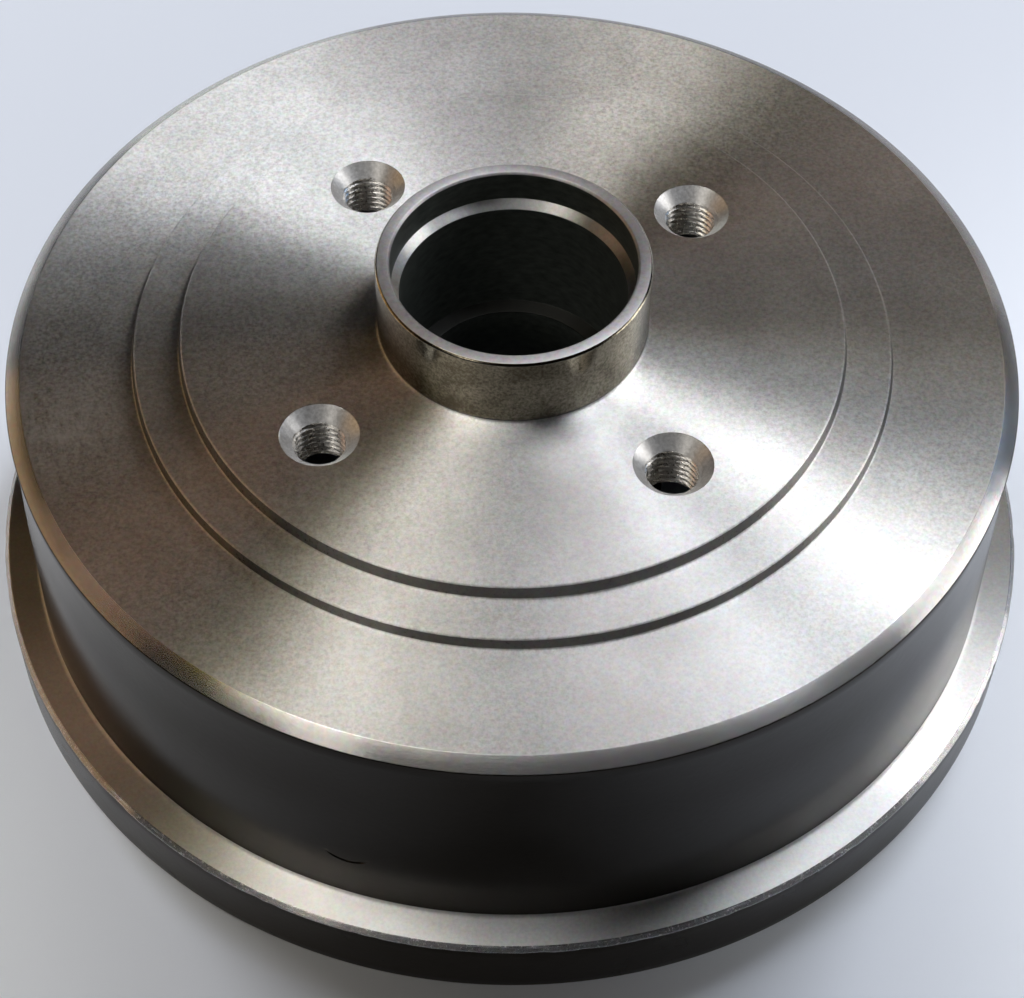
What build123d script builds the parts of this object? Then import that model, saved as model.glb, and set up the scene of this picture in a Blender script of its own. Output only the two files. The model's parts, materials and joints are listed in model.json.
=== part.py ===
from build123d import *
import os

# Grey iron brake drum, cast in one piece with its wheel hub and then turned.
# Millimetres. The drum stands on its open rim: z = 0 is the rim, +Z is the wheel side,
# and the Z axis is the axle. Every section below is a list of (radius, height) points.

# Brake track and the open mouth below it
track_radius = 100.0
track_width = 44.0
runout_width = 4.5  # turned groove that the boring tool leaves the track by
runout_depth = 0.8
mouth_depth = 10.0
mouth_relief = 3.0  # the mouth is this much wider than the track, with a 45 degree lead

# Wall round the track
wall_thickness = 5.9  # at the wheel side
wall_draft = 1.2  # the casting widens by this much towards the flange
crown_bevel_width = 3.3
crown_bevel_height = 2.0

# Flange at the open rim
flange_overhang = 7.6
flange_height = 15.4
flange_bevel = 1.1
rim_lip = 3.0  # between the mouth and the backplate groove
rim_groove_width = 4.5
rim_groove_depth = 5.0

# Web with its stepped wheel face
web_thickness = 13.5
bolt_land = 19.0  # hub face outside the bolt circle
middle_land_width = 9.9
middle_land_drop = 3.0
outer_land_drop = 2.5
riser_lean = 0.6
riser_root_bevel = 0.9
web_corner_bevel = 2.0

# Wheel bolt holes, tapped M12 x 1.5
bolt_circle_radius = 50.0
bolt_count = 4
first_bolt_angle = 40.0
tapping_radius = 5.25
countersink_radius = 8.1

# Hub bore: cap seat, outer bearing seat, land, inner bearing seat, seal seat
cap_seat_depth = 7.2
cap_ledge = 1.7  # bevelled step between the cap seat and the bearing seat
outer_race_radius = 23.5
outer_race_depth = 27.9
land_step = 3.5  # the land between the bearings stands in by this much
inner_race_radius = 27.5
inner_race_depth = 17.5
seal_step = 1.5
seal_depth = 7.5
seat_bevel = 0.6

# Collar that centres the wheel, and the hub barrel inside the drum
collar_wall = 3.05
collar_height = 17.2
collar_bevel = 0.45
barrel_wall = 5.0  # round the seal seat
barrel_end = 16.0  # height of the barrel's open end over the rim
barrel_root_fillet = 5.0

# Heights
track_foot = mouth_depth + mouth_relief
track_top = track_foot + track_width
web_under = track_top + runout_width
hub_face = web_under + web_thickness
middle_land = hub_face - middle_land_drop
outer_land = middle_land - outer_land_drop
wall_top = outer_land - crown_bevel_height
collar_top = hub_face + collar_height

# Radii
mouth_radius = track_radius + mouth_relief
wall_top_radius = track_radius + wall_thickness
wall_foot_radius = wall_top_radius + wall_draft
crown_radius = wall_top_radius - crown_bevel_width
flange_radius = wall_foot_radius + flange_overhang
hub_land_radius = bolt_circle_radius + bolt_land
middle_land_radius = hub_land_radius + middle_land_width
cap_seat_radius = outer_race_radius + cap_ledge
collar_radius = cap_seat_radius + collar_wall
seal_radius = inner_race_radius + seal_step
barrel_radius = seal_radius + barrel_wall


def turned(points, fillets=(), bevels=()):
    """A solid of revolution about the axle, with some corners of its section eased."""
    section = make_face(Polyline(*points, close=True))
    for corner, radius in fillets:
        section = fillet(nearest_vertex(section, corner), radius)
    for corner, width in bevels:
        section = chamfer(nearest_vertex(section, corner), width)
    return revolve(Plane.XZ * section, Axis.Z)


def nearest_vertex(section, corner):
    """The section's vertex at a (radius, height) corner."""
    return section.vertices().sort_by_distance((*corner, 0))[0]


def casting():
    """Web, wall, flange, collar and barrel, with the hollow for the shoes."""
    first_riser_root = (hub_land_radius + riser_lean, middle_land)
    second_riser_root = (middle_land_radius + riser_lean, outer_land)
    wheel_side = [
        (0, collar_top),
        (collar_radius - collar_bevel, collar_top),
        (collar_radius, collar_top - collar_bevel),
        (collar_radius, hub_face),
        (hub_land_radius, hub_face),
        first_riser_root,
        (middle_land_radius, middle_land),
        second_riser_root,
        (crown_radius, outer_land),
        (wall_top_radius, wall_top),
        (wall_foot_radius, flange_height),
        (flange_radius - flange_bevel, flange_height),
        (flange_radius, flange_height - flange_bevel),
        (flange_radius, 0),
    ]
    web_corner = (track_radius + runout_depth, web_under)
    barrel_root = (barrel_radius, web_under)
    shoe_side = [
        (mouth_radius, 0),
        (mouth_radius, mouth_depth),
        (track_radius, track_foot),
        (track_radius, track_top),
        (track_radius + runout_depth, track_top + runout_depth),
        web_corner,
        barrel_root,
        (barrel_radius, barrel_end),
        (0, barrel_end),
    ]
    fillets = [(barrel_root, barrel_root_fillet)]
    bevels = [
        (first_riser_root, riser_root_bevel),
        (second_riser_root, riser_root_bevel),
        (web_corner, web_corner_bevel),
    ]
    return turned(wheel_side + shoe_side, fillets, bevels)


def hub_bore():
    """The stepped hole through collar and barrel, with a bevel at the mouth of each seat."""
    land_radius = outer_race_radius - land_step
    cap_ledge_height = collar_top - cap_seat_depth
    outer_race_mouth = cap_ledge_height - cap_ledge
    outer_race_floor = outer_race_mouth - outer_race_depth
    inner_race_mouth = barrel_end + seal_depth
    inner_race_floor = inner_race_mouth + inner_race_depth
    return turned(
        [
            (0, collar_top),
            (cap_seat_radius + collar_bevel, collar_top),
            (cap_seat_radius, collar_top - collar_bevel),
            (cap_seat_radius, cap_ledge_height),
            (outer_race_radius, outer_race_mouth),
            (outer_race_radius, outer_race_floor),
            (land_radius, outer_race_floor),
            (land_radius, inner_race_floor),
            (inner_race_radius, inner_race_floor),
            (inner_race_radius, inner_race_mouth + seat_bevel),
            (inner_race_radius + seat_bevel, inner_race_mouth),
            (seal_radius, inner_race_mouth),
            (seal_radius, barrel_end + seat_bevel),
            (seal_radius + seat_bevel, barrel_end),
            (0, barrel_end),
        ]
    )


def rim_groove():
    """The ring groove in the rim that the backplate's edge runs in."""
    inner_radius = mouth_radius + rim_lip
    outer_radius = inner_radius + rim_groove_width
    return turned(
        [
            (inner_radius, 0),
            (outer_radius, 0),
            (outer_radius, rim_groove_depth),
            (inner_radius, rim_groove_depth),
        ]
    )


def bolt_holes():
    """Tapping-size holes through the web, each with a right-angled countersink."""
    countersink_depth = countersink_radius - tapping_radius
    hole = turned(
        [
            (0, web_under),
            (tapping_radius, web_under),
            (tapping_radius, hub_face - countersink_depth),
            (countersink_radius, hub_face),
            (0, hub_face),
        ]
    )
    places = PolarLocations(bolt_circle_radius, bolt_count, start_angle=first_bolt_angle)
    return [place * hole for place in places]


brake_drum = casting() - hub_bore() - rim_groove() - bolt_holes()

os.makedirs("parts", exist_ok=True)
export_step(brake_drum, "parts/brake_drum.step")
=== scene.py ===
import json
import math
import bpy
from mathutils import Euler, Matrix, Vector, noise


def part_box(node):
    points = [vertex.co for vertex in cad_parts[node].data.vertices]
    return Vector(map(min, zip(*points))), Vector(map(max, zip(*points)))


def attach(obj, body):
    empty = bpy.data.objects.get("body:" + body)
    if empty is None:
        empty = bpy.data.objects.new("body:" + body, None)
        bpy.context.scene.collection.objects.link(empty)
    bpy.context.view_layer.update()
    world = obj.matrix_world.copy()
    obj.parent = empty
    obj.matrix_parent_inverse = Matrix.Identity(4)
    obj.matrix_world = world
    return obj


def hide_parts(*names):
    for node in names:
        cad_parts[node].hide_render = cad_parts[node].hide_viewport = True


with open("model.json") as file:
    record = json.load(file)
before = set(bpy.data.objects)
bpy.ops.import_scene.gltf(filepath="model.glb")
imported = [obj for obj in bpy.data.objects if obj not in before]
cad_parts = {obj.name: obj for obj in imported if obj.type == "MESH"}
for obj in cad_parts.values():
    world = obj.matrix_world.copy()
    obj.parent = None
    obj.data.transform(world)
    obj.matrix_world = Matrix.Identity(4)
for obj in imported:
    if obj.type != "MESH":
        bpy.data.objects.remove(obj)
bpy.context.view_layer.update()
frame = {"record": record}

mm = 0.001
mounts = {mount["name"]: mount for mount in frame["record"]["mounts"]}
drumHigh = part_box("brake_drum")[1]


def inMetres(lengths):
    return {key: value * mm for key, value in lengths.items()}


def mountRadius(name):
    return mounts[name]["dims"]["r_mm"] * mm


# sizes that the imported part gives, in metres
flangeRadius = min(drumHigh.x, drumHigh.y) - 0.002 * mm   # a hair inside the part's own box
collarTop = drumHigh.z
hubFace = mounts["wheel_seat"]["pos_m"][2]
collarRadius = mountRadius("centring_spigot")
capSeatRadius = mountRadius("cap_seat")
outerRaceRadius = mountRadius("outer_bearing_seat")
innerRaceRadius = mountRadius("inner_bearing_seat")
sealRadius = mountRadius("seal_seat")
boltCircle = mounts["wheel_bolts"]["dims"]["pcd_mm"] / 2 * mm
boltCount = mounts["wheel_bolts"]["dims"]["count"]


# small helpers for edit mode

def objectMode():
    if bpy.context.mode != "OBJECT":
        bpy.ops.object.mode_set(mode="OBJECT")


def deselectAll():
    objectMode()
    bpy.ops.object.select_all(action="DESELECT")


def makeActive(obj):
    deselectAll()
    obj.select_set(True)
    bpy.context.view_layer.objects.active = obj


def editMode(kind="VERT"):
    bpy.ops.object.mode_set(mode="EDIT")
    bpy.ops.mesh.select_mode(type=kind)


def selectVerts(obj, test):
    bpy.ops.mesh.select_all(action="DESELECT")
    objectMode()
    for vert in obj.data.vertices:
        vert.select = test(vert.co)
    bpy.ops.object.mode_set(mode="EDIT")


# the turned section in millimetres: sharp corners first, then each corner eased

section = {
    "trackRadius": 100.0, "trackFoot": 13.0, "trackTop": 57.0, "runoutDepth": 0.8,
    "mouthRadius": 103.0, "mouthDepth": 10.0,
    "wallTopRadius": 105.9, "wallFootRadius": 107.1, "wallTop": 67.5,
    "crownRadius": 102.6, "outerLand": 69.5, "middleLand": 72.0,
    "hubLandRadius": 69.0, "middleLandRadius": 78.9, "riserLean": 0.6,
    "flangeTop": 15.4, "flangeBevel": 1.1,
    "grooveInner": 106.0, "grooveOuter": 110.5, "grooveDepth": 5.0,
    "webUnder": 61.5, "barrelRadius": 34.0, "barrelEnd": 16.0,
    "collarBevel": 0.45, "ledge": 85.0, "outerRaceMouth": 83.3, "outerRaceFloor": 55.4,
    "landRadius": 20.0, "innerRaceFloor": 41.0, "innerRaceMouth": 23.5, "seatBevel": 0.6,
}
easing = {
    "crisp": 0.12, "edge": 0.22, "mouth": 0.4, "fillet": 0.42, "step": 0.5, "rimFoot": 0.5,
    "collarRoot": 0.7, "wallRoot": 0.8, "webCorner": 2.0, "barrelRoot": 5.0,
}
arcs = ((1.5, 8), (0.41, 4), (0.0, 2))   # easing that is passed, and the parts that the arc then has
rings = {
    "steps": 360, "wallCuts": 16, "bevelCuts": 2, "flangeCuts": 6,
    "sameCorner": 0.02, "weld": 0.002, "smoothAngle": 30,
}
size = inMetres(section)


def sectionCorners():
    s = size
    lean = s["riserLean"]
    bevel = s["collarBevel"]
    seat = s["seatBevel"]
    runout = s["trackRadius"] + s["runoutDepth"]
    ease = inMetres(easing)
    edge = ease["edge"]
    crisp = ease["crisp"]
    # each corner is radius, height and how far it is eased
    return [
        (capSeatRadius + bevel, collarTop, crisp),
        (collarRadius - bevel, collarTop, crisp),
        (collarRadius, collarTop - bevel, crisp),
        (collarRadius, hubFace, ease["collarRoot"]),
        (s["hubLandRadius"], hubFace, ease["step"]),
        (s["hubLandRadius"] + lean, s["middleLand"], ease["fillet"]),
        (s["middleLandRadius"], s["middleLand"], ease["step"]),
        (s["middleLandRadius"] + lean, s["outerLand"], ease["fillet"]),
        (s["crownRadius"], s["outerLand"], edge),
        (s["wallTopRadius"], s["wallTop"], edge),
        (s["wallFootRadius"], s["flangeTop"], ease["wallRoot"]),
        (flangeRadius - s["flangeBevel"], s["flangeTop"], edge),
        (flangeRadius, s["flangeTop"] - s["flangeBevel"], edge),
        (flangeRadius, 0.0, ease["rimFoot"]),
        (s["grooveOuter"], 0.0, edge),
        (s["grooveOuter"], s["grooveDepth"], edge),
        (s["grooveInner"], s["grooveDepth"], edge),
        (s["grooveInner"], 0.0, edge),
        (s["mouthRadius"], 0.0, ease["mouth"]),
        (s["mouthRadius"], s["mouthDepth"], edge),
        (s["trackRadius"], s["trackFoot"], edge),
        (s["trackRadius"], s["trackTop"], crisp),
        (runout, s["trackTop"] + s["runoutDepth"], edge),
        (runout, s["webUnder"], ease["webCorner"]),
        (s["barrelRadius"], s["webUnder"], ease["barrelRoot"]),
        (s["barrelRadius"], s["barrelEnd"], ease["mouth"]),
        (sealRadius + seat, s["barrelEnd"], crisp),
        (sealRadius, s["barrelEnd"] + seat, crisp),
        (sealRadius, s["innerRaceMouth"], edge),
        (innerRaceRadius + seat, s["innerRaceMouth"], crisp),
        (innerRaceRadius, s["innerRaceMouth"] + seat, crisp),
        (innerRaceRadius, s["innerRaceFloor"], edge),
        (s["landRadius"], s["innerRaceFloor"], edge),
        (s["landRadius"], s["outerRaceFloor"], edge),
        (outerRaceRadius, s["outerRaceFloor"], edge),
        (outerRaceRadius, s["outerRaceMouth"], edge),
        (capSeatRadius, s["ledge"], crisp),
        (capSeatRadius, collarTop - bevel, crisp),
    ]


def near(co, corner):
    away = math.hypot(math.hypot(co.x, co.y) - corner[0], co.z - corner[1])
    return away < rings["sameCorner"] * mm


def cutEdge(drum, start, end, cuts):
    selectVerts(drum, lambda co: near(co, start) or near(co, end))
    bpy.ops.mesh.subdivide(number_cuts=cuts)


def arcParts(ease):
    return next(parts for least, parts in arcs if ease > least * mm)


def drawSection():
    corners = sectionCorners()
    deselectAll()
    # a small plane, merged to one point, starts the line of corners
    bpy.ops.mesh.primitive_plane_add(size=0.01)
    drum = bpy.context.object
    drum.name = "turnedDrum"
    editMode()
    bpy.ops.mesh.select_all(action="SELECT")
    bpy.ops.mesh.merge(type="CENTER")
    place = Vector((0, 0, 0))
    for index, (radius, height, _) in enumerate(corners):
        step = Vector((radius, 0, height)) - place
        if index == 0:
            bpy.ops.transform.translate(value=step)
        else:
            bpy.ops.mesh.extrude_region_move(TRANSFORM_OT_translate={"value": step})
        place += step
    selectVerts(drum, lambda co: near(co, corners[0]) or near(co, corners[-1]))
    bpy.ops.mesh.edge_face_add()
    # more rings on the cast wall and flange, for their uneven skin
    wallTop, wallFoot, bevelTop, bevelFoot, flangeFoot = corners[9:14]
    cutEdge(drum, wallTop, wallFoot, rings["wallCuts"])
    cutEdge(drum, bevelTop, bevelFoot, rings["bevelCuts"])
    cutEdge(drum, bevelFoot, flangeFoot, rings["flangeCuts"])
    for ease in sorted({corner[2] for corner in corners}):
        picked = [corner for corner in corners if corner[2] == ease]
        selectVerts(drum, lambda co: any(near(co, corner) for corner in picked))
        bpy.ops.mesh.bevel(offset=ease, offset_type="OFFSET", segments=arcParts(ease), affect="VERTICES")
    objectMode()
    print("section drawn with", len(drum.data.vertices), "points")
    return drum


def spinSection(drum):
    makeActive(drum)
    editMode()
    bpy.ops.mesh.select_all(action="SELECT")
    bpy.ops.mesh.spin(steps=rings["steps"], angle=2 * math.pi, center=(0, 0, 0), axis=(0, 0, 1))
    bpy.ops.mesh.select_all(action="SELECT")
    bpy.ops.mesh.remove_doubles(threshold=rings["weld"] * mm)
    bpy.ops.mesh.normals_make_consistent(inside=False)
    objectMode()
    print("drum spun:", len(drum.data.polygons), "faces")


# uneven skin of the casting: a slight waist in the wall, soft waves, and nicks along the flange edge

skin = {
    "wave": 0.10, "waist": 0.30, "waistHeight": 56.0, "waistReach": 9.0, "nick": 0.35,
    "wallSlack": 1.0, "rootSlack": 2.0,
    "edgeReach": 0.9, "edgeFoot": 1.0, "edgeHead": 0.2, "nickReach": 0.4,
}
waves = {"wall": 45, "edge": 60, "nick": 330}


def roughenCasting(drum):
    s = size
    cast = inMetres(skin)
    wallFrom = s["flangeTop"] + cast["rootSlack"]
    wallTo = s["wallTop"] - cast["wallSlack"]
    edgeTo = s["flangeTop"] - cast["edgeHead"]
    nickFrom = s["flangeTop"] - s["flangeBevel"] - cast["nickReach"]
    for vert in drum.data.vertices:
        co = vert.co
        radius = math.hypot(co.x, co.y)
        onWall = radius > s["wallTopRadius"] - cast["wallSlack"] and wallFrom < co.z < wallTo
        onEdge = radius > flangeRadius - cast["edgeReach"] and cast["edgeFoot"] < co.z < edgeTo
        if onWall:
            away = (co.z - cast["waistHeight"]) / cast["waistReach"]
            move = cast["wave"] * (noise.noise(co * waves["wall"]) - 0.5)
            move -= cast["waist"] * math.exp(-away * away)
        elif onEdge:
            move = -cast["wave"] * abs(noise.noise(co * waves["edge"]))
            if co.z > nickFrom:
                move -= cast["nick"] * max(noise.noise(co * waves["nick"]), 0)
        else:
            continue
        scale = (radius + move) / radius
        co.x *= scale
        co.y *= scale


# tapped wheel-bolt holes: one cutter with the thread and countersink, copied round
# rootFlat and flankShare are shares of half a pitch

bolt = {
    "firstAngle": 40.0, "pitch": 1.5, "minorRadius": 5.2, "majorRadius": 6.0,
    "countersink": 8.1, "exitRadius": 6.3, "rootFlat": 0.14, "flankShare": 0.66,
    "around": 72, "ringsPerPitch": 8, "overrun": 1.0,
}


def threadRadius(angle, height):
    turn = (height / (bolt["pitch"] * mm) - angle / (2 * math.pi)) % 1.0
    fromRoot = abs(turn - 0.5) * 2
    flank = min(max((fromRoot - bolt["rootFlat"]) / bolt["flankShare"], 0.0), 1.0)
    radius = bolt["majorRadius"] - flank * (bolt["majorRadius"] - bolt["minorRadius"])
    mouth = bolt["countersink"] - (hubFace - height) / mm
    exitBevel = bolt["exitRadius"] - (height - size["webUnder"]) / mm
    return max(radius, mouth, exitBevel) * mm


def tapCutter():
    overrun = bolt["overrun"] * mm
    bottom = size["webUnder"] - overrun
    rise = bolt["pitch"] * mm / bolt["ringsPerPitch"]
    count = math.ceil((hubFace + overrun - bottom) / rise)
    deselectAll()
    bpy.ops.mesh.primitive_circle_add(vertices=bolt["around"], radius=bolt["majorRadius"] * mm,
                                      fill_type="NGON", location=(0, 0, bottom))
    cutter = bpy.context.object
    bpy.ops.object.transform_apply(location=True)
    editMode("FACE")
    bpy.ops.mesh.select_all(action="SELECT")
    for _ in range(count):
        bpy.ops.mesh.extrude_region_move(TRANSFORM_OT_translate={"value": (0, 0, rise)})
    bpy.ops.mesh.select_all(action="SELECT")
    bpy.ops.mesh.normals_make_consistent(inside=False)
    objectMode()
    for vert in cutter.data.vertices:
        angle = math.atan2(vert.co.y, vert.co.x)
        radius = threadRadius(angle, vert.co.z)
        vert.co.x = radius * math.cos(angle)
        vert.co.y = radius * math.sin(angle)
    return cutter


def boltPlaces():
    for index in range(boltCount):
        angle = math.radians(bolt["firstAngle"] + 360 / boltCount * index)
        yield Vector((boltCircle * math.cos(angle), boltCircle * math.sin(angle), 0))


def cutWith(drum, cutter):
    makeActive(drum)
    cut = drum.modifiers.new("cut", "BOOLEAN")
    cut.operation = "DIFFERENCE"
    cut.solver = "EXACT"
    cut.object = cutter
    bpy.ops.object.modifier_apply(modifier=cut.name)
    bpy.data.objects.remove(cutter, do_unlink=True)


def tapHoles(drum):
    master = tapCutter()
    for place in boltPlaces():
        cutter = master.copy()
        cutter.data = master.data.copy()
        cutter.location = place
        bpy.context.collection.objects.link(cutter)
        bpy.context.view_layer.update()
        cutWith(drum, cutter)
    bpy.data.objects.remove(master, do_unlink=True)
    print("holes tapped:", len(drum.data.polygons), "faces")


# crescent-shaped fold that the casting has low on the wall

fold = {
    "azimuth": -107.0, "height": 28.2, "bend": 6.0, "thickness": 0.36, "tilt": 8.0, "sink": 0.1,
    "around": 72, "across": 12,
}


def cutFold(drum):
    turn = math.radians(fold["azimuth"])
    tilt = math.radians(fold["tilt"])
    rise = section["wallTop"] - section["flangeTop"]
    share = (fold["height"] - section["flangeTop"]) / rise
    draft = section["wallTopRadius"] - section["wallFootRadius"]
    wallRadius = section["wallFootRadius"] + share * draft
    out = (wallRadius + fold["bend"] * math.sin(tilt) - fold["sink"]) * mm
    height = (fold["height"] + fold["bend"] * math.cos(tilt)) * mm
    deselectAll()
    bpy.ops.mesh.primitive_torus_add(
        major_radius=fold["bend"] * mm, minor_radius=fold["thickness"] * mm,
        major_segments=fold["around"], minor_segments=fold["across"],
        location=(out * math.cos(turn), out * math.sin(turn), height),
        rotation=(0, math.pi / 2 + tilt, turn))
    cutWith(drum, bpy.context.object)
    print("casting fold cut")


# finishes

def newFinish(name):
    finish = bpy.data.materials.new(name)
    finish.use_nodes = True
    tree = finish.node_tree
    shader = tree.nodes["Principled BSDF"]
    coords = tree.nodes.new("ShaderNodeTexCoord")
    return finish, tree, shader, coords.outputs["Object"]


def addMath(tree, operation, first, second):
    node = tree.nodes.new("ShaderNodeMath")
    node.operation = operation
    for socket, value in zip(node.inputs, (first, second)):
        if isinstance(value, (int, float)):
            socket.default_value = value
        else:
            tree.links.new(value, socket)
    return node.outputs[0]


def addVector(tree, operation, first, second):
    node = tree.nodes.new("ShaderNodeVectorMath")
    node.operation = operation
    for socket, value in zip(node.inputs, (first, second)):
        if isinstance(value, tuple):
            socket.default_value = value
        else:
            tree.links.new(value, socket)
    return node.outputs["Value" if operation in ("LENGTH", "DISTANCE") else "Vector"]


def addNoise(tree, vector, scale, detail=4.0, roughness=0.6, output="Fac"):
    node = tree.nodes.new("ShaderNodeTexNoise")
    node.inputs["Scale"].default_value = scale
    node.inputs["Detail"].default_value = detail
    node.inputs["Roughness"].default_value = roughness
    tree.links.new(vector, node.inputs["Vector"])
    return node.outputs[output]


def addRamp(tree, value, stops):
    node = tree.nodes.new("ShaderNodeValToRGB")
    ramp = node.color_ramp
    while len(ramp.elements) < len(stops):
        ramp.elements.new(0.5)
    for element, (position, colour) in zip(ramp.elements, stops):
        element.position = position
        element.color = (*colour, 1.0)
    tree.links.new(value, node.inputs["Fac"])
    return node.outputs["Color"]


def addRange(tree, value, low, high, fromLow=0.3, fromHigh=0.7):
    node = tree.nodes.new("ShaderNodeMapRange")
    node.inputs["From Min"].default_value = fromLow
    node.inputs["From Max"].default_value = fromHigh
    node.inputs["To Min"].default_value = low
    node.inputs["To Max"].default_value = high
    tree.links.new(value, node.inputs["Value"])
    return node.outputs["Result"]


def addMix(tree, share, first, second, blend="MIX"):
    node = tree.nodes.new("ShaderNodeMix")
    node.data_type = "RGBA"
    node.blend_type = blend
    for name, value in (("Factor", share), ("A", first), ("B", second)):
        socket = next(s for s in node.inputs if s.name == name and s.enabled)
        if isinstance(value, (int, float)):
            socket.default_value = value
        elif isinstance(value, tuple):
            socket.default_value = (*value, 1.0)
        else:
            tree.links.new(value, socket)
    return next(s for s in node.outputs if s.enabled)


def addBump(tree, height, strength, distance, normal=None):
    node = tree.nodes.new("ShaderNodeBump")
    node.inputs["Strength"].default_value = strength
    node.inputs["Distance"].default_value = distance
    tree.links.new(height, node.inputs["Height"])
    if normal is not None:
        tree.links.new(normal, node.inputs["Normal"])
    return node.outputs["Normal"]


def lathePolar(tree, position):
    # radius, angle and height, so that streaks follow the lathe marks
    parts = tree.nodes.new("ShaderNodeSeparateXYZ")
    tree.links.new(position, parts.inputs[0])
    radius = addVector(tree, "LENGTH", addVector(tree, "MULTIPLY", position, (1, 1, 0)), (0, 0, 0))
    angle = addMath(tree, "ARCTAN2", parts.outputs["Y"], parts.outputs["X"])
    polar = tree.nodes.new("ShaderNodeCombineXYZ")
    tree.links.new(radius, polar.inputs["X"])
    tree.links.new(angle, polar.inputs["Y"])
    tree.links.new(parts.outputs["Z"], polar.inputs["Z"])
    return polar.outputs[0]


def acrossLathe(tree, position):
    # direction in the surface that crosses the lathe marks
    surface = tree.nodes.new("ShaderNodeNewGeometry")
    around = addVector(tree, "CROSS_PRODUCT", (0, 0, 1), position)
    return addVector(tree, "CROSS_PRODUCT", surface.outputs["Normal"], around)


def acrossBore(tree):
    # the same for holes whose axis is upright, wherever they stand
    surface = tree.nodes.new("ShaderNodeNewGeometry")
    around = addVector(tree, "CROSS_PRODUCT", (0, 0, 1), surface.outputs["Normal"])
    return addVector(tree, "CROSS_PRODUCT", surface.outputs["Normal"], around)


turned = {
    "light": (0.66, 0.656, 0.648), "dark": (0.50, 0.49, 0.478), "roughness": (0.39, 0.44),
    "anisotropy": 1.0, "grooves": (2600, 6, 2600), "grooveBump": 0.05, "grain": 1300, "grainBump": 0.12,
    "bumpDepth": 0.02, "blotch": 38, "flecks": 0.35, "fleckColour": (0.56, 0.55, 0.53),
    "tint": 800, "tintShare": 0.36, "crossMarks": 0.0, "rub": 0.0,
}
lands = dict(
    turned, roughness=(0.37, 0.46), flecks=0.8, grainBump=0.2,
    rub=0.6, rubAt=(-91.0, -27.4, 69.5), rubReach=19.0, rubStreaks=(700, 22, 700),
    rubColour=(0.80, 0.78, 0.75), rubRoughness=0.3,
)
crown = dict(
    turned, light=(0.47, 0.46, 0.45), dark=(0.36, 0.35, 0.34), roughness=(0.25, 0.265),
    flecks=0.2, grainBump=0.02,
)
# the upright steps get a much darker copy of the turned iron: painted shade standing in for the dark that
# the risers show from the front
riser = dict(
    turned, light=(0.20, 0.194, 0.184), dark=(0.13, 0.125, 0.118), roughness=(0.27, 0.29),
    grainBump=0.08,
)
nicked = dict(
    crown, light=(0.50, 0.49, 0.485), dark=(0.30, 0.29, 0.285), roughness=(0.25, 0.28),
    crossMarks=0.10, crossScale=(60, 130, 60), crossDepth=0.05,
)
rim = dict(
    turned, light=(0.42, 0.41, 0.415), dark=(0.28, 0.27, 0.28), roughness=(0.42, 0.52),
    anisotropy=0.6,
)
track = dict(turned, roughness=(0.30, 0.38), grainBump=0.06, grooveBump=0.10)


def rubMark(tree, position, polar, look):
    # pale smear, streaked along the lathe marks, that fades out from its middle
    middle = tuple(value * mm for value in look["rubAt"])
    away = addVector(tree, "DISTANCE", position, middle)
    fade = addRange(tree, away, look["rub"], 0.0, fromLow=0.0, fromHigh=look["rubReach"] * mm)
    along = addVector(tree, "MULTIPLY", polar, look["rubStreaks"])
    streak = addNoise(tree, along, 1.0, detail=4.0, roughness=0.7)
    return addMath(tree, "MULTIPLY", fade, addRange(tree, streak, 0.0, 1.0, fromLow=0.35, fromHigh=0.62))


def turnedFinish(name, look):
    finish, tree, shader, position = newFinish(name)
    link = tree.links.new
    polar = lathePolar(tree, position)
    depth = look["bumpDepth"] * mm
    grooves = addNoise(tree, addVector(tree, "MULTIPLY", polar, look["grooves"]), 1.0, detail=3.0)
    grain = addNoise(tree, position, look["grain"], detail=3.0, roughness=0.7)
    blotch = addNoise(tree, position, look["blotch"], detail=4.0)
    tone = addRamp(tree, blotch, [(0.3, look["dark"]), (0.72, look["light"])])
    flecks = addRamp(tree, grain, [(0.30, look["fleckColour"]), (0.64, (1, 1, 1))])
    colour = addMix(tree, look["flecks"], tone, flecks, "MULTIPLY")
    tint = addNoise(tree, position, look["tint"], detail=3.0, roughness=0.6, output="Color")
    colour = addMix(tree, look["tintShare"], colour, tint, "SOFT_LIGHT")
    roughness = addRange(tree, grain, *look["roughness"])
    if look["rub"]:
        smear = rubMark(tree, position, polar, look)
        colour = addMix(tree, smear, colour, look["rubColour"])
        dulled = addMath(tree, "MULTIPLY", smear, look["rubRoughness"])
        roughness = addMath(tree, "ADD", roughness, dulled)
    link(colour, shader.inputs["Base Color"])
    shader.inputs["Metallic"].default_value = 1.0
    shader.inputs["Anisotropic"].default_value = look["anisotropy"]
    link(roughness, shader.inputs["Roughness"])
    link(acrossLathe(tree, position), shader.inputs["Tangent"])
    normal = addBump(tree, grooves, look["grooveBump"], depth)
    if look["crossMarks"]:
        marks = addNoise(tree, addVector(tree, "MULTIPLY", polar, look["crossScale"]), 1.0, detail=2.0)
        normal = addBump(tree, marks, look["crossMarks"], look["crossDepth"] * mm, normal)
    link(addBump(tree, grain, look["grainBump"], depth, normal), shader.inputs["Normal"])
    return finish


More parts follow.
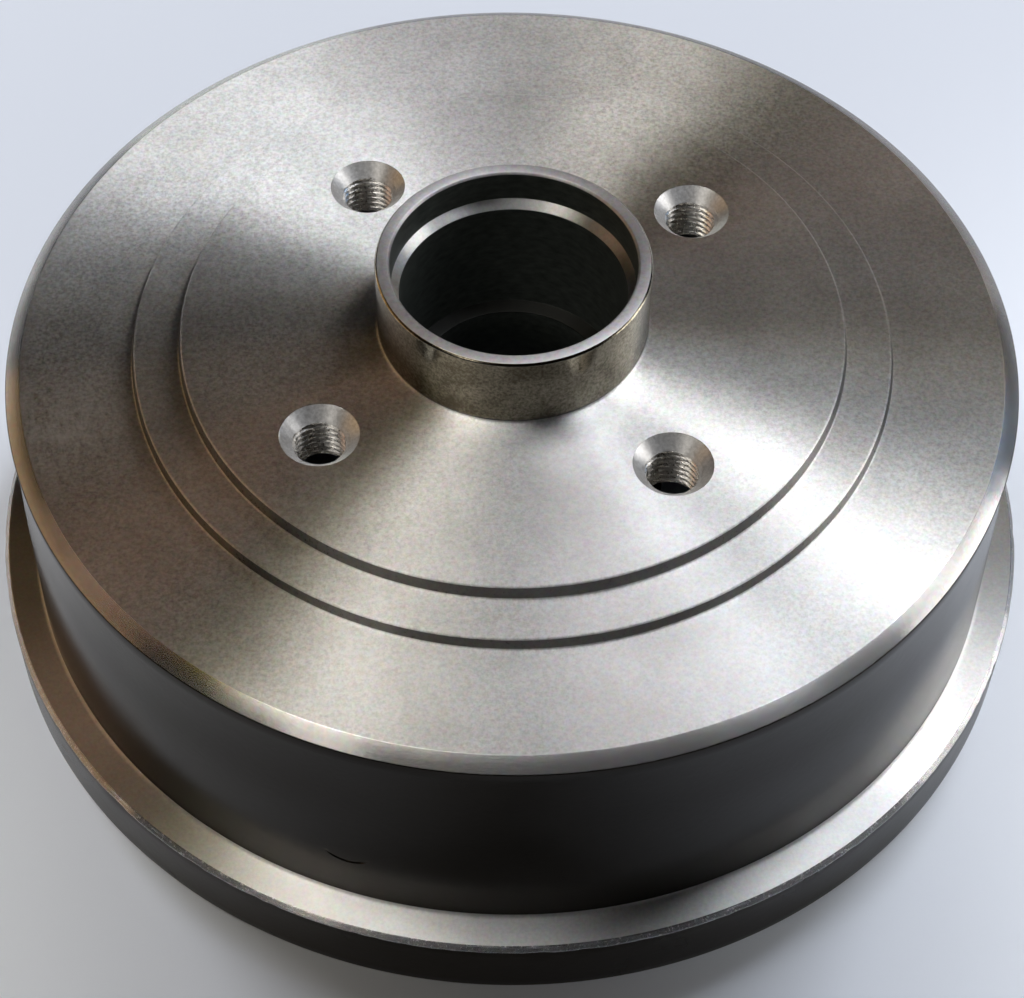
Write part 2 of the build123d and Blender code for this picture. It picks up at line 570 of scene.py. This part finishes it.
# near-black skin of the wall and flange: partly the dark cast skin, partly painted shade, darker than the
# iron really is, standing in for the dark the wall shows from the front
wallSkinAndShade = {
    "dark": (0.001, 0.001, 0.001), "light": (0.006, 0.0055, 0.0045), "roughness": (0.16, 0.24),
    "specular": 0.19, "tint": (1.0, 0.82, 0.62), "stain": 30,
    "grain": 700, "grainBump": 0.30, "bumpDepth": 0.08,
}
flangeSkinAndShade = dict(
    wallSkinAndShade, light=(0.010, 0.009, 0.008), roughness=(0.24, 0.34), specular=0.3,
    grain=520, grainBump=0.35,
)
insideSkin = dict(
    wallSkinAndShade, dark=(0.035, 0.031, 0.027), light=(0.09, 0.078, 0.066), roughness=(0.45, 0.65),
    specular=0.4, grain=650, grainBump=0.6,
)


def castFinish(name, look):
    finish, tree, shader, position = newFinish(name)
    link = tree.links.new
    grain = addNoise(tree, position, look["grain"], detail=5.0)
    stain = addNoise(tree, position, look["stain"], detail=5.0)
    colour = addRamp(tree, stain, [(0.35, look["dark"]), (0.75, look["light"])])
    link(colour, shader.inputs["Base Color"])
    shader.inputs["Metallic"].default_value = 0.0
    shader.inputs["Specular IOR Level"].default_value = look["specular"]
    shader.inputs["Specular Tint"].default_value = (*look["tint"], 1.0)
    link(addRange(tree, stain, *look["roughness"]), shader.inputs["Roughness"])
    link(addBump(tree, grain, look["grainBump"], look["bumpDepth"] * mm), shader.inputs["Normal"])
    return finish


collarSkin = {
    "dark": (0.10, 0.088, 0.062), "light": (0.30, 0.275, 0.22), "roughness": (0.13, 0.22),
    "mottle": 1500, "patch": 60, "bump": 0.14, "bumpDepth": 0.04,
}


def collarFinish(name, look):
    finish, tree, shader, position = newFinish(name)
    link = tree.links.new
    mottle = addNoise(tree, position, look["mottle"], detail=4.0, roughness=0.65)
    patch = addNoise(tree, position, look["patch"], detail=3.0)
    mixed = addMath(tree, "MULTIPLY", mottle, patch)
    colour = addRamp(tree, mixed, [(0.17, look["dark"]), (0.37, look["light"])])
    link(colour, shader.inputs["Base Color"])
    shader.inputs["Metallic"].default_value = 1.0
    link(addRange(tree, mottle, *look["roughness"]), shader.inputs["Roughness"])
    link(addBump(tree, mottle, look["bump"], look["bumpDepth"] * mm), shader.inputs["Normal"])
    return finish


boreSkin = {
    "dark": (0.06, 0.068, 0.062), "light": (0.12, 0.135, 0.125), "roughness": (0.32, 0.42),
    "metallic": 0.6, "specular": 0.5, "streaks": (1, 8, 900), "bump": 0.08, "bumpDepth": 0.02,
}
# the shoulder deep in the bore gets a near-black, dull copy of the bore finish: painted shade in the recess
shoulderShade = dict(
    boreSkin, dark=(0.006, 0.0062, 0.0048), light=(0.010, 0.0102, 0.0078),
    metallic=0.0, specular=0.1,
)


def boreFinish(name, look):
    finish, tree, shader, position = newFinish(name)
    link = tree.links.new
    along = addVector(tree, "MULTIPLY", lathePolar(tree, position), look["streaks"])
    streak = addNoise(tree, along, 1.0, detail=3.0)
    colour = addRamp(tree, streak, [(0.3, look["dark"]), (0.8, look["light"])])
    link(colour, shader.inputs["Base Color"])
    shader.inputs["Metallic"].default_value = look["metallic"]
    shader.inputs["Specular IOR Level"].default_value = look["specular"]
    link(addRange(tree, streak, *look["roughness"]), shader.inputs["Roughness"])
    link(addBump(tree, streak, look["bump"], look["bumpDepth"] * mm), shader.inputs["Normal"])
    return finish


countersunk = {
    "dark": (0.48, 0.475, 0.47), "light": (0.66, 0.655, 0.65), "roughness": (0.40, 0.48), "anisotropy": 0.5,
    "grain": 1500, "marks": (90, 90, 4200), "bump": 0.08, "bumpDepth": 0.03,
}
# the thread is a lighter copy of the countersink finish: painted light standing in for the light that falls
# on the thread flanks
litThreads = dict(
    countersunk, dark=(0.60, 0.58, 0.55), light=(0.90, 0.885, 0.86), roughness=(0.24, 0.34),
    anisotropy=0.3,
)


def drilledFinish(name, look):
    finish, tree, shader, position = newFinish(name)
    link = tree.links.new
    depth = look["bumpDepth"] * mm
    grain = addNoise(tree, position, look["grain"], detail=4.0, roughness=0.65)
    marks = addNoise(tree, addVector(tree, "MULTIPLY", position, look["marks"]), 1.0, detail=3.0)
    colour = addRamp(tree, grain, [(0.32, look["dark"]), (0.64, look["light"])])
    link(colour, shader.inputs["Base Color"])
    shader.inputs["Metallic"].default_value = 1.0
    shader.inputs["Anisotropic"].default_value = look["anisotropy"]
    link(addRange(tree, grain, *look["roughness"]), shader.inputs["Roughness"])
    link(acrossBore(tree), shader.inputs["Tangent"])
    rough = addBump(tree, grain, look["bump"], depth)
    link(addBump(tree, marks, look["bump"], depth, rough), shader.inputs["Normal"])
    return finish


# where each finish lies: upright holds limits for how far up a face looks, and zones are in millimetres
upright = {"cone": 0.5, "shoulder": 0.3, "rim": 0.9, "riser": 0.45, "flat": 0.97}
zones = {
    "slack": 0.05, "collarRoot": 0.7, "wallDepth": 4.0, "wallRoot": 0.75, "bevelSlack": 0.1,
    "flangeDepth": 0.8, "flangeFoot": 0.4, "trackDepth": 0.5, "trackHead": 2.0,
}
reach = inMetres(zones)


def finishAt(at, normal, holes):
    s = size
    slack = reach["slack"]
    radius = math.hypot(at.x, at.y)
    fromHole = min(math.hypot(at.x - hole.x, at.y - hole.y) for hole in holes)
    rimFoot = collarTop - s["collarBevel"] - slack
    coneFoot = hubFace - (bolt["countersink"] - bolt["minorRadius"]) * mm
    bevelFoot = s["flangeTop"] - s["flangeBevel"] - reach["bevelSlack"]
    if fromHole < bolt["countersink"] * mm and s["webUnder"] + slack < at.z < hubFace - slack:
        return "countersink" if at.z > coneFoot and normal.z > upright["cone"] else "thread"
    if radius < (capSeatRadius if at.z > hubFace else sealRadius) + slack and at.z < rimFoot:
        if s["outerRaceMouth"] - slack < at.z < s["ledge"] + slack:
            return "turned"
        low = at.z < s["outerRaceFloor"] + slack
        return "shoulder" if low and normal.z > upright["shoulder"] else "bore"
    if radius < collarRadius + slack and at.z > hubFace + reach["collarRoot"]:
        outside = radius > collarRadius - s["collarBevel"] - slack and normal.z < upright["rim"]
        return "collar" if outside else "rim"
    if radius > s["crownRadius"] - slack and at.z > s["wallTop"] + slack:
        return "crown"
    if at.z > s["outerLand"] - slack:
        return "riser" if normal.z < upright["riser"] else "lands"
    if radius > s["trackRadius"] + reach["wallDepth"] and at.z > s["flangeTop"] + reach["wallRoot"]:
        return "wall"
    if radius > flangeRadius - s["flangeBevel"] - slack and at.z > bevelFoot:
        return "turned" if normal.z > upright["flat"] else "nicked"
    if radius > flangeRadius - reach["flangeDepth"] and at.z > reach["flangeFoot"]:
        return "flange"
    if radius > s["wallTopRadius"] and at.z > s["flangeTop"] - slack:
        return "turned"
    if radius > s["trackRadius"] - reach["trackDepth"] and at.z < s["webUnder"] - reach["trackHead"]:
        return "track"
    return "inside"


def paintDrum(drum):
    finishes = {
        "turned": turnedFinish("turnedIron", turned),
        "lands": turnedFinish("turnedLands", lands),
        "riser": turnedFinish("riserPaintedShade", riser),
        "rim": turnedFinish("collarRim", rim),
        "crown": turnedFinish("crownBevel", crown),
        "track": turnedFinish("brakeTrack", track),
        "wall": castFinish("castWallAndShade", wallSkinAndShade),
        "flange": castFinish("castFlangeAndShade", flangeSkinAndShade),
        "inside": castFinish("castInside", insideSkin),
        "nicked": turnedFinish("nickedEdge", nicked),
        "collar": collarFinish("collarSkin", collarSkin),
        "bore": boreFinish("boredSeats", boreSkin),
        "shoulder": boreFinish("boreShoulderShade", shoulderShade),
        "countersink": drilledFinish("countersink", countersunk),
        "thread": drilledFinish("boltThread", litThreads),
    }
    order = list(finishes)
    for finish in finishes.values():
        drum.data.materials.append(finish)
    holes = list(boltPlaces())
    for face in drum.data.polygons:
        face.material_index = order.index(finishAt(face.center, face.normal, holes))
    print("finishes laid:", len(order))


def buildDrum():
    drum = drawSection()
    spinSection(drum)
    roughenCasting(drum)
    tapHoles(drum)
    cutFold(drum)
    makeActive(drum)
    paintDrum(drum)
    bpy.ops.object.shade_smooth_by_angle(angle=math.radians(rings["smoothAngle"]))
    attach(drum, "root")
    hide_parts("brake_drum")
    triangles = sum(len(face.vertices) - 2 for face in drum.data.polygons)
    print("drum finished:", triangles, "triangles")
    return drum


# stage: floor, lights and camera

stage = {
    "floorSize": 8.0, "floorColour": (0.80, 0.85, 0.955), "fade": 0.96, "cloud": 1.5, "roughness": 0.6,
}


def buildFloor():
    deselectAll()
    bpy.ops.mesh.primitive_plane_add(size=stage["floorSize"])
    floor = bpy.context.object
    floor.name = "floor"
    finish, tree, shader, position = newFinish("paleFloor")
    cloud = addNoise(tree, position, stage["cloud"], detail=2.0)
    pale = stage["floorColour"]
    faint = tuple(value * stage["fade"] for value in pale)
    tree.links.new(addRamp(tree, cloud, [(0.3, faint), (0.7, pale)]), shader.inputs["Base Color"])
    shader.inputs["Roughness"].default_value = stage["roughness"]
    floor.data.materials.append(finish)
    return floor


# soft boxes, each with its place, size, brightness and colour: the ceiling and side ones light the drum
# alone, the floor and pool ones the floor alone, as flags round them would do it, and the low ones both
ceilingLamps = {
    "leftFront": ((-0.362, -0.03, 1.6), (0.475, 0.35), 10.7, (1.0, 0.97, 0.91)),
    "nearFront": ((0.0, -0.03, 1.6), (0.25, 0.35), 5.2, (0.97, 0.98, 1.0)),
    "nearMiddle": ((0.19, 0.32, 1.6), (0.13, 0.35), 8.0, (0.97, 0.98, 1.0)),
    "leftNear": ((-0.75, -0.40, 1.6), (0.60, 0.30), 3.5, (1.0, 0.95, 0.88)),
    "frontLeft": ((-1.15, -1.50, 1.6), (0.60, 0.50), 4.5, (1.0, 0.95, 0.88)),
    "leftEdge": ((-0.75, -0.03, 1.6), (0.30, 0.35), 1.4, (1.0, 0.77, 0.10)),
    "rightNear": ((0.19, 0.66, 1.6), (0.13, 0.48), 12.5, (0.98, 0.95, 1.0)),
    "rightMiddle": ((0.52, 0.32, 1.6), (0.25, 0.35), 19.0, (0.90, 0.94, 1.0)),
    "rightFar": ((0.82, 0.66, 1.6), (0.35, 0.45), 21.5, (0.92, 0.95, 1.0)),
    "rightHigh": ((1.75, 0.35, 1.6), (0.60, 0.40), 2.0, (1.0, 0.97, 0.93)),
    "rightCorner": ((1.25, 1.3, 1.6), (0.50, 0.80), 3.1, (1.0, 0.89, 0.72)),
    "rightSky": ((1.95, 1.3, 1.6), (0.90, 0.80), 1.4, (0.15, 0.50, 1.0)),
    "leftHigh": ((-1.68, 0.35, 1.6), (1.45, 0.90), 0.60, (1.0, 0.64, 0.46)),
}
sideLamps = {"rightSide": ((2.0, 0.1, 0.68), (1.00, 0.60), 5.0, (1.0, 0.98, 0.95))}
lowLamps = {
    "rightLow": ((2.2, 0.4, 0.2), (0.80, 0.40), 6.5, (0.97, 0.97, 1.0)),
    "backLeft": ((-0.8, 2.4, 0.65), (0.80, 0.50), 4.0, (0.93, 1.0, 0.90)),
    "backMiddle": ((0.0, 2.4, 1.25), (0.80, 0.70), 0.9, (1.0, 0.95, 0.96)),
    "backRight": ((1.5, 2.4, 1.2), (1.40, 0.75), 1.5, (1.0, 0.92, 0.86)),
    "warmLeft": ((-2.2, 0.35, 0.4), (2.30, 0.70), 1.1, (1.0, 0.62, 0.26)),
}
floorLamps = {
    "cornerLeft": ((-2.88, 2.60, 0.97), (1.70, 0.90), 26.0, (1.0, 0.965, 0.90)),
    "cornerHigh": ((-2.00, 2.40, 2.50), (0.90, 0.90), 11.5, (0.85, 0.88, 0.98)),
    "cornerRight": ((1.90, 2.62, 2.35), (1.60, 0.90), 24.0, (0.90, 0.94, 1.0)),
    "frontFill": ((0.0, -1.5, 2.5), (1.00, 1.00), 1.5, (1.0, 0.95, 0.87)),
}
poolLamps = {
    "poolLeft": ((-0.33, -0.22, 1.6), (0.40, 0.40), 0.65, (1.0, 0.92, 0.76)),
    "poolRight": ((0.35, -0.18, 1.6), (0.40, 0.50), 1.2, (1.0, 0.98, 0.93)),
}
spread = {"open": 180, "pool": 12}
down = Vector((0, 0, -1))


def addLamp(name, look, aim, lit=None, fan=spread["open"]):
    place, (width, depth), glow, colour = look
    lamp = bpy.data.lights.new(name, "AREA")
    lamp.shape = "RECTANGLE"
    lamp.size = width
    lamp.size_y = depth
    lamp.energy = glow * math.pi * width * depth
    lamp.color = colour
    lamp.spread = math.radians(fan)
    holder = bpy.data.objects.new(name, lamp)
    holder.location = place
    holder.rotation_euler = aim.to_track_quat("-Z", "Y").to_euler()
    bpy.context.collection.objects.link(holder)
    if lit:
        only = bpy.data.collections.new(name + "Lit")
        only.objects.link(lit)
        holder.light_linking.receiver_collection = only


def towardAxis(look):
    x, y = look[0][:2]
    return Vector((0, -y, 0)) if abs(y) > abs(x) else Vector((-x, 0, 0))


room = {"colour": (0.5, 0.45, 0.4), "strength": 0.02}


def lightScene(drum, floor):
    for name, look in ceilingLamps.items():
        addLamp(name, look, down, drum)
    for name, look in sideLamps.items():
        addLamp(name, look, towardAxis(look), drum)
    for name, look in lowLamps.items():
        addLamp(name, look, towardAxis(look))
    for name, look in floorLamps.items():
        addLamp(name, look, -Vector(look[0]), floor)
    for name, look in poolLamps.items():
        addLamp(name, look, down, floor, spread["pool"])
    sky = bpy.data.worlds.new("room")
    sky.use_nodes = True
    back = sky.node_tree.nodes["Background"]
    back.inputs["Color"].default_value = (*room["colour"], 1.0)
    back.inputs["Strength"].default_value = room["strength"]
    bpy.context.scene.world = sky
    bpy.context.scene.view_settings.view_transform = "Standard"
    print("lamps set:", len(bpy.data.lights))


# camera fitted to the photograph: 2269 pixels of focal length in a 1024 pixel wide frame
shot = {
    "pictureWidth": 1024, "focalPixels": 2269.2, "sensor": 36.0,
    "elevation": 47.47, "distance": 473.8, "tilt": 4.556, "pan": -0.036, "roll": 0.822,
    "clipStart": 0.01,
}


def buildCamera():
    lens = bpy.data.cameras.new("shot")
    lens.sensor_fit = "HORIZONTAL"
    lens.sensor_width = shot["sensor"]
    lens.lens = shot["sensor"] * shot["focalPixels"] / shot["pictureWidth"]
    lens.clip_start = shot["clipStart"]
    camera = bpy.data.objects.new("shot", lens)
    rise = math.radians(shot["elevation"])
    away = shot["distance"] * mm
    camera.location = (0, -away * math.cos(rise), hubFace + away * math.sin(rise))
    pitch = math.radians(90 - shot["elevation"] - shot["tilt"])
    turn = Euler((pitch, 0, 0)).to_matrix() @ Euler((0, math.radians(shot["pan"]), 0)).to_matrix()
    turn = turn @ Euler((0, 0, math.radians(shot["roll"]))).to_matrix()
    camera.rotation_euler = turn.to_euler()
    bpy.context.collection.objects.link(camera)
    bpy.context.scene.camera = camera


drum = buildDrum()
floor = buildFloor()
lightScene(drum, floor)
buildCamera()
print("scene ready")
